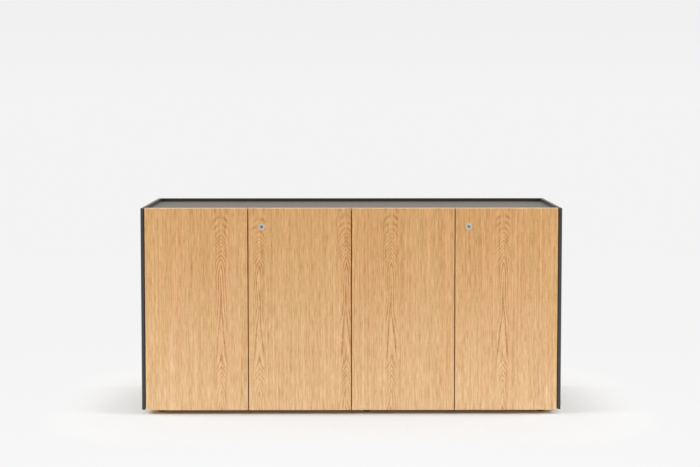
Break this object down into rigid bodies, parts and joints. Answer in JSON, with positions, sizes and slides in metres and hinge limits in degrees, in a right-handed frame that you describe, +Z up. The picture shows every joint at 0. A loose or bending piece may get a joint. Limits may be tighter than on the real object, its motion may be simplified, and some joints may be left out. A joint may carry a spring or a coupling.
{
  "type": "office credenza",
  "caption": "Low office storage case with a recessed top, side-hinged veneered doors in lockable pairs, adjustable shelves and levelling feet.",
  "frame": {"origin": "on the floor, under the middle of the bounding box", "axes": "+Z up, +X to the right along the width seen from the doors, +Y from the doors towards the back"},
  "size_m": [1.64, 0.4334, 0.81],
  "materials": {
    "graphite_board": "matt graphite melamine on chipboard",
    "oak_veneer": "matt lacquered oak veneer, vertical grain",
    "beech": "raw turned beech",
    "pin_steel": "nickel-plated steel",
    "hinge_nickel": "nickel-plated pressed steel",
    "screw_zinc": "zinc-plated steel",
    "strike_zinc": "zinc-plated sheet steel",
    "lock_nickel": "satin nickel-plated zinc",
    "plug_nickel": "satin nickel-plated brass",
    "black_plastic": "moulded matt",
    "foot_plastic": "moulded matt",
    "magnet": "ground ferrite",
    "bumper_rubber": "soft matt"
  },
  "bodies": {
    "case": {"back_cladding": "graphite_board", "cam_strikes": "strike_zinc", "carcass_bottom": "graphite_board", "carcass_side_left": "graphite_board", "carcass_side_right": "graphite_board", "carcass_top": "graphite_board", "catch_housings": "black_plastic", "catch_magnets": "magnet", "centre_partition": "graphite_board", "door_bumpers": "bumper_rubber", "dowels": "beech", "fitting_screws": "screw_zinc", "foot_sockets": "black_plastic", "hinge_arms_inner": "hinge_nickel", "hinge_arms_outer": "hinge_nickel", "hinge_clamp_screws": "screw_zinc", "hinge_pins": "hinge_nickel", "hinge_plates": "hinge_nickel", "panel_screws": "screw_zinc", "shelf_left": "graphite_board", "shelf_pins": "pin_steel", "shelf_right": "graphite_board", "side_cladding_left": "graphite_board", "side_cladding_right": "graphite_board"},
    "door_1": {"door_1_catch_plate": "strike_zinc", "door_1_hinge_cups": "hinge_nickel", "door_1_lock_lip": "strike_zinc", "door_1_panel": "oak_veneer", "door_1_screws": "screw_zinc"},
    "door_2": {"door_2_catch_plate": "strike_zinc", "door_2_hinge_cups": "hinge_nickel", "door_2_panel": "oak_veneer", "door_2_screws": "screw_zinc", "lock_2_housing": "lock_nickel", "lock_2_nut": "lock_nickel"},
    "door_3": {"door_3_catch_plate": "strike_zinc", "door_3_hinge_cups": "hinge_nickel", "door_3_lock_lip": "strike_zinc", "door_3_panel": "oak_veneer", "door_3_screws": "screw_zinc"},
    "door_4": {"door_4_catch_plate": "strike_zinc", "door_4_hinge_cups": "hinge_nickel", "door_4_panel": "oak_veneer", "door_4_screws": "screw_zinc", "lock_4_housing": "lock_nickel", "lock_4_nut": "lock_nickel"},
    "foot_back_left": {"foot_back_left": "foot_plastic"},
    "foot_back_middle": {"foot_back_middle": "foot_plastic"},
    "foot_back_right": {"foot_back_right": "foot_plastic"},
    "foot_front_left": {"foot_front_left": "foot_plastic"},
    "foot_front_middle": {"foot_front_middle": "foot_plastic"},
    "foot_front_right": {"foot_front_right": "foot_plastic"},
    "lock_2_barrel": {"lock_2_cam": "strike_zinc", "lock_2_cam_screw": "screw_zinc", "lock_2_plug": "plug_nickel"},
    "lock_4_barrel": {"lock_4_cam": "strike_zinc", "lock_4_cam_screw": "screw_zinc", "lock_4_plug": "plug_nickel"}
  },
  "joints": [
    {"name": "door_1_swing", "type": "hinge", "parent": "case", "child": "door_1", "pos_m": [-0.796, -0.20975, 0.413], "axis": [0, 0, -1], "range_deg": [0, 110]},
    {"name": "door_2_swing", "type": "hinge", "parent": "case", "child": "door_2", "pos_m": [-0.0105, -0.20975, 0.413], "axis": [0, 0, 1], "range_deg": [0, 90]},
    {"name": "door_3_swing", "type": "hinge", "parent": "case", "child": "door_3", "pos_m": [0.0105, -0.20975, 0.413], "axis": [0, 0, -1], "range_deg": [0, 90]},
    {"name": "door_4_swing", "type": "hinge", "parent": "case", "child": "door_4", "pos_m": [0.796, -0.20975, 0.413], "axis": [0, 0, 1], "range_deg": [0, 110]},
    {"name": "lock_2_turn", "type": "hinge", "parent": "door_2", "child": "lock_2_barrel", "pos_m": [-0.34975, -0.21525, 0.738], "axis": [0, 1, 0], "range_deg": [0, 90]},
    {"name": "lock_4_turn", "type": "hinge", "parent": "door_4", "child": "lock_4_barrel", "pos_m": [0.45675, -0.21525, 0.738], "axis": [0, 1, 0], "range_deg": [0, 90]},
    {"name": "screw_foot_front_left", "type": "hinge", "parent": "case", "child": "foot_front_left", "pos_m": [-0.75, -0.16025, 0], "axis": [0, 0, 1], "continuous": true},
    {"name": "screw_foot_front_middle", "type": "hinge", "parent": "case", "child": "foot_front_middle", "pos_m": [0.06, -0.16025, 0], "axis": [0, 0, 1], "continuous": true},
    {"name": "screw_foot_front_right", "type": "hinge", "parent": "case", "child": "foot_front_right", "pos_m": [0.75, -0.16025, 0], "axis": [0, 0, 1], "continuous": true},
    {"name": "screw_foot_back_left", "type": "hinge", "parent": "case", "child": "foot_back_left", "pos_m": [-0.75, 0.16175, 0], "axis": [0, 0, 1], "continuous": true},
    {"name": "screw_foot_back_middle", "type": "hinge", "parent": "case", "child": "foot_back_middle", "pos_m": [0.06, 0.16175, 0], "axis": [0, 0, 1], "continuous": true},
    {"name": "screw_foot_back_right", "type": "hinge", "parent": "case", "child": "foot_back_right", "pos_m": [0.75, 0.16175, 0], "axis": [0, 0, 1], "continuous": true}
  ]
}
